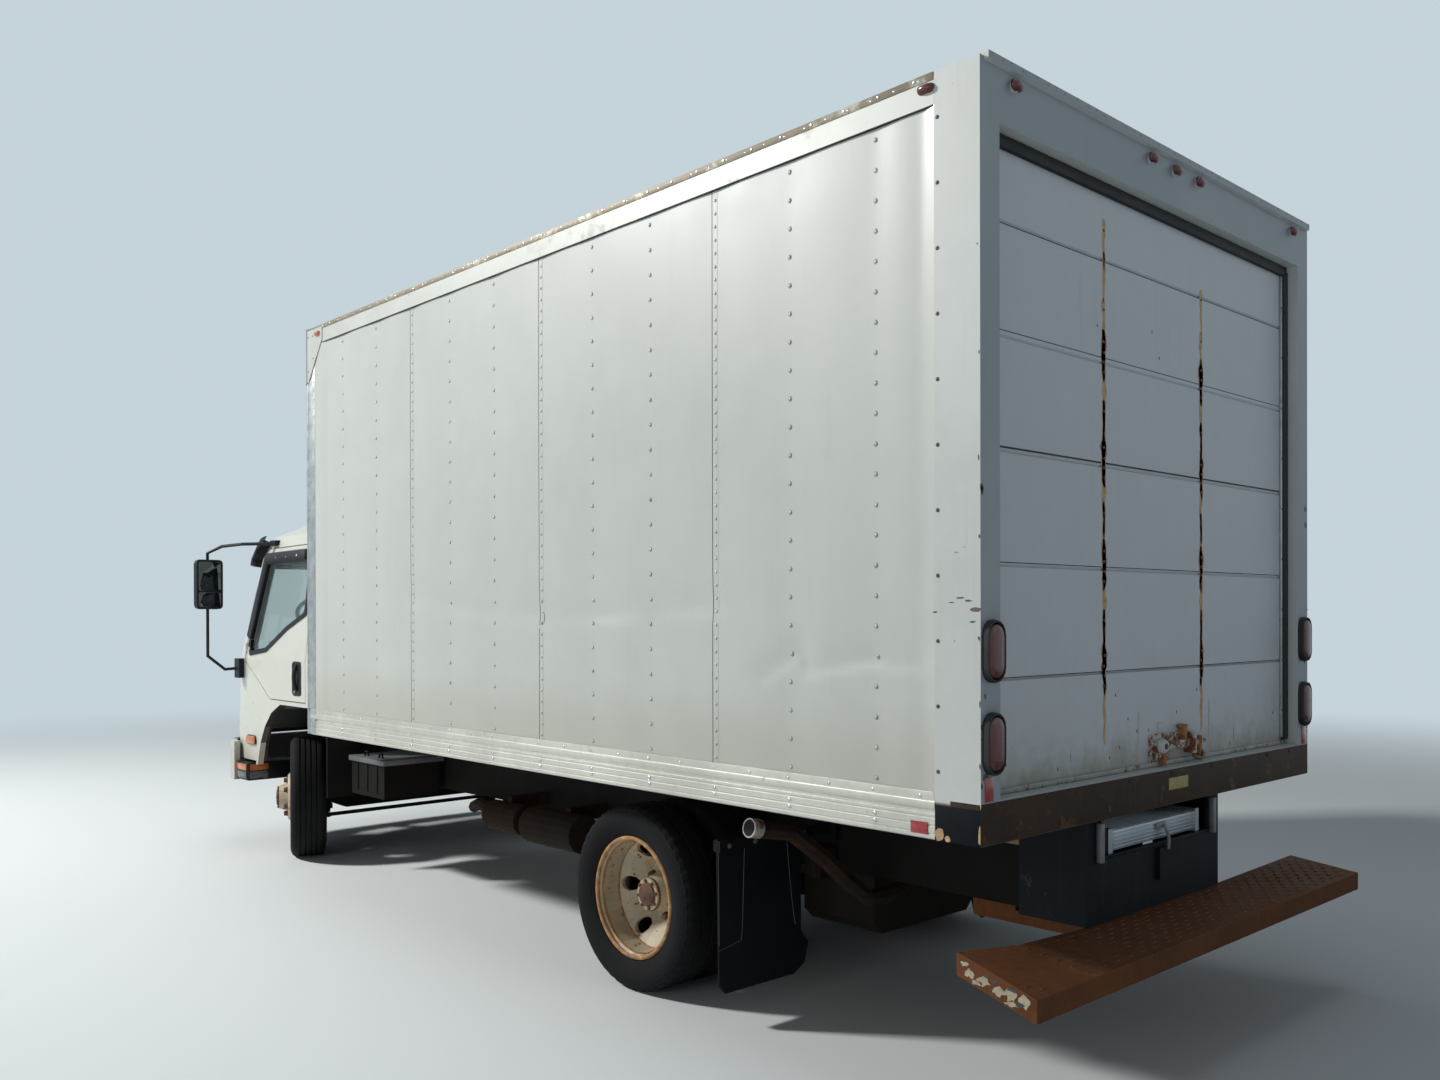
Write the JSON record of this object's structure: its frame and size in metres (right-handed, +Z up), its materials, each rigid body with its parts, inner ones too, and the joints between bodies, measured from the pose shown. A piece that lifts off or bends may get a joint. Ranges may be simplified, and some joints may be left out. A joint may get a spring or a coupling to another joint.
{
  "type": "box truck",
  "caption": "Cab over engine light truck with a high box body, roll up rear door, sliding loading ramp, steered front wheels, twin rear wheels, tilting cab and opening doors.",
  "frame": {"origin": "centre of the bounding box at the ground", "axes": "+X forward, +Y to the truck's left, +Z up"},
  "size_m": [7.077, 2.65, 3.337],
  "materials": {
    "body_white": "semi gloss",
    "cab_white": "semi gloss",
    "frame_black": "satin, rusty",
    "rusty_steel": "rusted",
    "cast_block": "matt",
    "bright_ramp": "satin",
    "black_plastic": "matt",
    "floor_wood": "worn",
    "flap_rubber": "matt",
    "tyre_rubber": "matt",
    "wheel_paint": "satin, rusty",
    "clear_glass": "gloss",
    "lamp_plastic": "gloss",
    "seat_cloth": "woven",
    "dash_plastic": "matt",
    "visor_smoke": "gloss"
  },
  "bodies": {
    "chassis": {"chassis_frame": "frame_black", "rear_axle": "rusty_steel", "front_axle": "rusty_steel", "propeller_shaft": "rusty_steel", "engine_block": "cast_block", "fuel_tank": "rusty_steel", "exhaust": "rusty_steel", "battery_box": "frame_black", "mud_flap_left": "flap_rubber", "mud_flap_right": "flap_rubber", "front_bumper": "cab_white", "box_floor": "floor_wood", "base_rail_left": "body_white", "base_rail_right": "body_white", "side_panel_left": "body_white", "side_panel_right": "body_white", "roof": "body_white", "front_wall": "body_white", "rear_frame": "body_white", "roll_up_door": "body_white", "door_latch": "rusty_steel", "rear_step": "rusty_steel", "ramp_housing": "frame_black"},
    "ramp": {"ramp": "bright_ramp"},
    "knuckle_left": {"knuckle_left": "rusty_steel"},
    "knuckle_right": {"knuckle_right": "rusty_steel"},
    "tie_rod": {"tie_rod": "rusty_steel"},
    "front_wheel_left": {"wheel_front_left": "wheel_paint", "tyre_front_left": "tyre_rubber"},
    "front_wheel_right": {"wheel_front_right": "wheel_paint", "tyre_front_right": "tyre_rubber"},
    "rear_wheels_left": {"wheels_rear_left": "wheel_paint", "tyre_rear_left_outer": "tyre_rubber", "tyre_rear_left_inner": "tyre_rubber"},
    "rear_wheels_right": {"wheels_rear_right": "wheel_paint", "tyre_rear_right_outer": "tyre_rubber", "tyre_rear_right_inner": "tyre_rubber"},
    "cab": {"cab_body": "cab_white", "front_panel": "cab_white", "windscreen": "clear_glass", "back_glass": "clear_glass", "headlamp_left": "lamp_plastic", "headlamp_right": "lamp_plastic", "sun_visor": "visor_smoke", "mirror_left": "black_plastic", "mirror_right": "black_plastic", "seats": "seat_cloth", "dashboard": "dash_plastic"},
    "door_left": {"door_left": "cab_white", "door_glass_left": "clear_glass"},
    "door_right": {"door_right": "cab_white", "door_glass_right": "clear_glass"}
  },
  "joints": [
    {"name": "steer_left", "type": "hinge", "parent": "chassis", "child": "knuckle_left", "pos_m": [2.4345, 0.715, 0.4], "axis": [0, 0, 1], "range_deg": [-15.5, 60.5]},
    {"name": "steer_right", "type": "hinge", "parent": "chassis", "child": "knuckle_right", "pos_m": [2.4345, -0.715, 0.4], "axis": [0, 0, 1], "range_deg": [-15.5, 60.5]},
    {"name": "tie_rod_swing", "type": "hinge", "parent": "knuckle_left", "child": "tie_rod", "pos_m": [2.28206, 0.77814, 0.289], "axis": [0, 0, 1], "range_deg": [-60.5, 15.5]},
    {"name": "wheel_front_left_spin", "type": "hinge", "parent": "knuckle_left", "child": "front_wheel_left", "pos_m": [2.4785, 0.8213, 0.4], "axis": [0.3827, 0.9239, 0], "continuous": true},
    {"name": "wheel_front_right_spin", "type": "hinge", "parent": "knuckle_right", "child": "front_wheel_right", "pos_m": [2.3905, -0.8213, 0.4], "axis": [0.3827, 0.9239, 0], "continuous": true},
    {"name": "wheels_rear_left_spin", "type": "hinge", "parent": "chassis", "child": "rear_wheels_left", "pos_m": [-1.3755, 0.825, 0.4], "axis": [0, 1, 0], "continuous": true},
    {"name": "wheels_rear_right_spin", "type": "hinge", "parent": "chassis", "child": "rear_wheels_right", "pos_m": [-1.3755, -0.825, 0.4], "axis": [0, 1, 0], "continuous": true},
    {"name": "cab_tilt", "type": "hinge", "parent": "chassis", "child": "cab", "pos_m": [3.3235, 0, 0.8], "axis": [0, 1, 0], "range_deg": [0, 45]},
    {"name": "door_left_swing", "type": "hinge", "parent": "cab", "child": "door_left", "pos_m": [3.0205, 1.02, 1.365], "axis": [0, 0, -1], "range_deg": [0, 70]},
    {"name": "door_right_swing", "type": "hinge", "parent": "cab", "child": "door_right", "pos_m": [3.0205, -1.02, 1.365], "axis": [0, 0, 1], "range_deg": [0, 70]},
    {"name": "ramp_slide", "type": "slide", "parent": "chassis", "child": "ramp", "axis": [-1, 0, 0], "range_m": [0, 2.3]}
  ],
  "couplings": [
    {"joint": "steer_right", "follows": "steer_left", "ratio": 1},
    {"joint": "tie_rod_swing", "follows": "steer_left", "ratio": -1}
  ]
}
